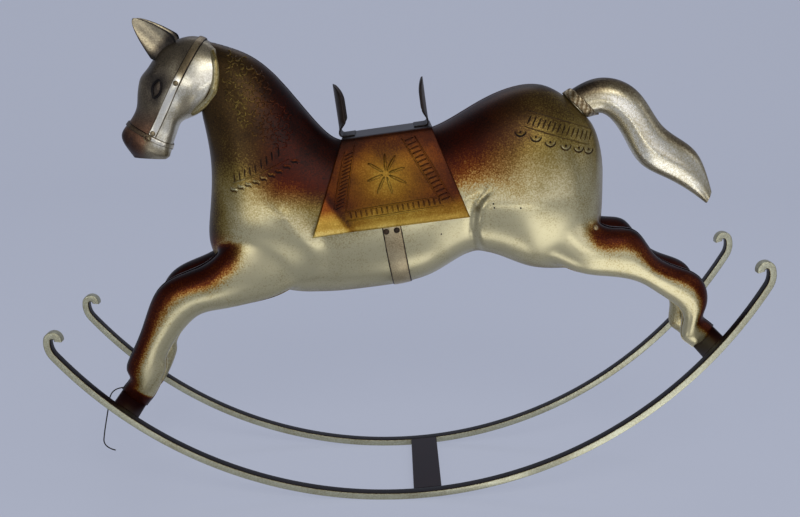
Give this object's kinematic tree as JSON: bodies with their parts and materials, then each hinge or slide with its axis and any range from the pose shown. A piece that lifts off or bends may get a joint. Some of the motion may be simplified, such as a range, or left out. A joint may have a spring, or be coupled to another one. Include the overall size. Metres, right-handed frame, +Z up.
{
  "type": "rocking horse",
  "caption": "Ornamental rocking horse of hollow pressed sheet metal, with saddle, girth and bridle, standing on scrolled rocker bars joined by flat cross bars.",
  "frame": {"origin": "on the floor, midway between the rockers, at the line where they touch it at rest", "axes": "+X from the nose to the tail, +Y to the horse's right side, +Z up"},
  "size_m": [0.4475, 0.0914, 0.2988],
  "materials": {
    "body_sheet": "sprayed metallic, dark patina above and pale silver below",
    "head_metal": "sprayed metallic silver with dark shading",
    "tail_sheet": "sprayed metallic silver",
    "saddle_sheet": "copper brown metallic",
    "strap_metal": "metallic silver",
    "rivet_metal": "dark metal",
    "rocker_bar": "pale metallic with dark speckle",
    "cross_bar": "dark red-brown lacquer",
    "wire": "dull dark wire"
  },
  "bodies": {
    "root": {"bridle_rivets": "rivet_metal", "cantle_plate": "saddle_sheet", "cheek_straps": "strap_metal", "front_cross_bar": "cross_bar", "front_left_leg_cover": "body_sheet", "front_left_leg_shell": "body_sheet", "front_right_leg_cover": "body_sheet", "front_right_leg_shell": "body_sheet", "girth_rivets": "rivet_metal", "girth_strap": "strap_metal", "haunch_rivets": "rivet_metal", "hind_left_leg_cover": "body_sheet", "hind_left_leg_shell": "body_sheet", "hind_right_leg_cover": "body_sheet", "hind_right_leg_shell": "body_sheet", "left_body_half": "body_sheet", "left_ear": "head_metal", "left_eye": "rivet_metal", "left_head_half": "head_metal", "left_rocker": "rocker_bar", "left_tail_half": "tail_sheet", "middle_cross_bar": "cross_bar", "noseband": "strap_metal", "pommel_plate": "saddle_sheet", "rear_cross_bar": "head_metal", "right_body_half": "body_sheet", "right_ear": "head_metal", "right_eye": "rivet_metal", "right_head_half": "head_metal", "right_rocker": "rocker_bar", "right_tail_half": "tail_sheet", "saddle_skirt": "saddle_sheet", "tail_collar": "tail_sheet", "tie_wire": "wire"}
  },
  "joints": []
}
